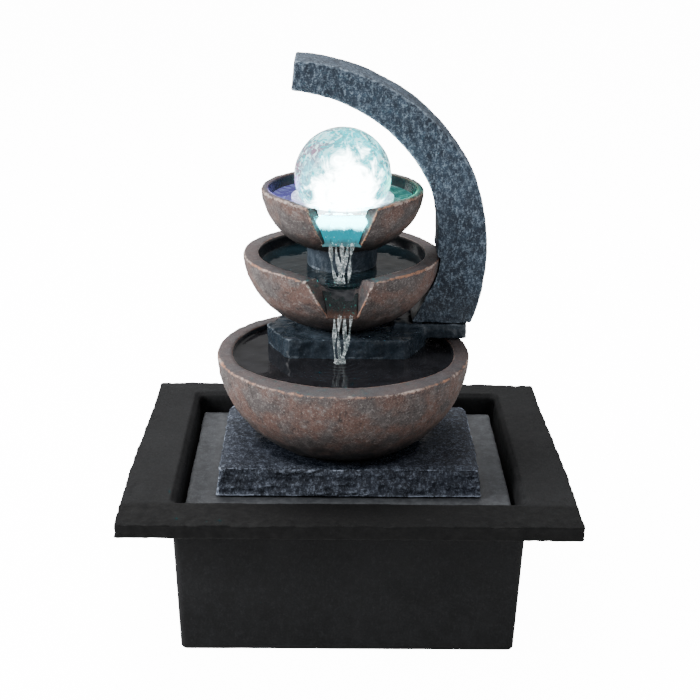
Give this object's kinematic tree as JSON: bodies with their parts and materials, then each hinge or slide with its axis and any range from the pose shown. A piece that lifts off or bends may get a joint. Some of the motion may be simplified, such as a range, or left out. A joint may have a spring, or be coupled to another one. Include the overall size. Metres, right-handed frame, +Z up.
{
  "type": "tabletop water fountain",
  "caption": "Tabletop fountain: slate-look tub and plinth, spilling bronze bowls, lit crystal ball and crescent arch, with pump and light inside",
  "frame": {"origin": "on the table, under the middle of the rim's bounding box", "axes": "+Z up, +X to the right seen from the front, +Y to the back"},
  "size_m": [0.21, 0.1724, 0.2675],
  "materials": {
    "slate_black": "matt charcoal slate texture on cast resin",
    "slate_grey": "matt grey cleft slate",
    "slate_blue": "dark slate with dry-brushed pale edges",
    "arch_slate": "blue-grey slate with pale scratches",
    "bronze_resin": "weathered bronze-brown with tan speckle",
    "dark_rock": "wet dark rock",
    "crystal": "clear crackle crystal, lit from below",
    "clear_plastic": "clear polished plastic",
    "clear_tube": "clear flexible tube",
    "black_plastic": "fine matt",
    "pump_plastic": "satin",
    "white_plastic": "satin",
    "black_lead": "soft PVC sheath",
    "rubber": "matt",
    "plated_steel": "plated",
    "copper": "enamelled copper winding",
    "ferrite": "sintered",
    "sponge": "open-cell foam",
    "circuit_board": "white solder mask",
    "led_epoxy": "clear epoxy dome",
    "ceramic": "polished ceramic",
    "epoxy": "cast potting"
  },
  "bodies": {
    "tub": {"basin": "slate_black", "led_tail": "black_lead", "pump_lead": "black_lead", "led_socket": "black_plastic", "connector_bracket": "black_plastic", "lead_clip": "white_plastic", "dc_inlet": "black_plastic", "inlet_gasket": "rubber", "inlet_nut": "plated_steel", "pump_case": "pump_plastic", "pump_volute": "pump_plastic", "potting_cap": "epoxy", "stator_core": "plated_steel", "stator_coil": "copper", "rotor_shaft": "ceramic", "shaft_bush_front": "rubber", "shaft_bush_rear": "rubber", "suction_cup_1": "rubber", "foot_pad_1": "rubber", "suction_cup_2": "rubber", "foot_pad_2": "rubber", "suction_cup_3": "rubber", "foot_pad_3": "rubber", "suction_cup_4": "rubber", "foot_pad_4": "rubber"},
    "tray": {"slate_tray": "slate_grey"},
    "stonework": {"slate_plinth": "slate_blue", "lower_bowl": "bronze_resin", "pedestal_rock": "dark_rock", "middle_bowl": "bronze_resin", "upper_pedestal": "dark_rock", "upper_bowl": "bronze_resin", "crescent_arch": "arch_slate", "ball_seat": "clear_plastic", "led_housing": "black_plastic", "led_gasket": "rubber", "led_board": "circuit_board", "led_1": "led_epoxy", "led_2": "led_epoxy", "led_3": "led_epoxy", "led_4": "led_epoxy", "led_lens": "clear_plastic", "riser_tube": "clear_tube", "led_lead": "black_lead", "led_plug": "black_plastic"},
    "ball": {"crystal_ball": "crystal"},
    "rotor": {"impeller": "white_plastic", "rotor_magnet": "ferrite"},
    "strainer": {"pump_strainer": "pump_plastic", "filter_sponge": "sponge"},
    "regulator": {"flow_regulator": "pump_plastic"}
  },
  "joints": [
    {"name": "tray_lift", "type": "slide", "parent": "tub", "child": "tray", "axis": [0, 0, 1], "range_m": [0, 0.045]},
    {"name": "stonework_lift", "type": "slide", "parent": "tray", "child": "stonework", "axis": [0, 0, 1], "range_m": [0, 0.045]},
    {"name": "ball_roll", "type": "hinge", "parent": "stonework", "child": "ball", "pos_m": [-0.004, 0.032, 0.2097], "axis": [1, 0, 0], "continuous": true},
    {"name": "impeller_spin", "type": "hinge", "parent": "tub", "child": "rotor", "pos_m": [-0.004, 0.032, 0.0246], "axis": [0, 1, 0], "continuous": true},
    {"name": "strainer_pull", "type": "slide", "parent": "tub", "child": "strainer", "axis": [0, -1, 0], "range_m": [0, 0.026]},
    {"name": "flow_regulator_turn", "type": "hinge", "parent": "strainer", "child": "regulator", "pos_m": [-0.004, 0.032, 0.0246], "axis": [0, 1, 0], "range_deg": [0, 60]}
  ]
}
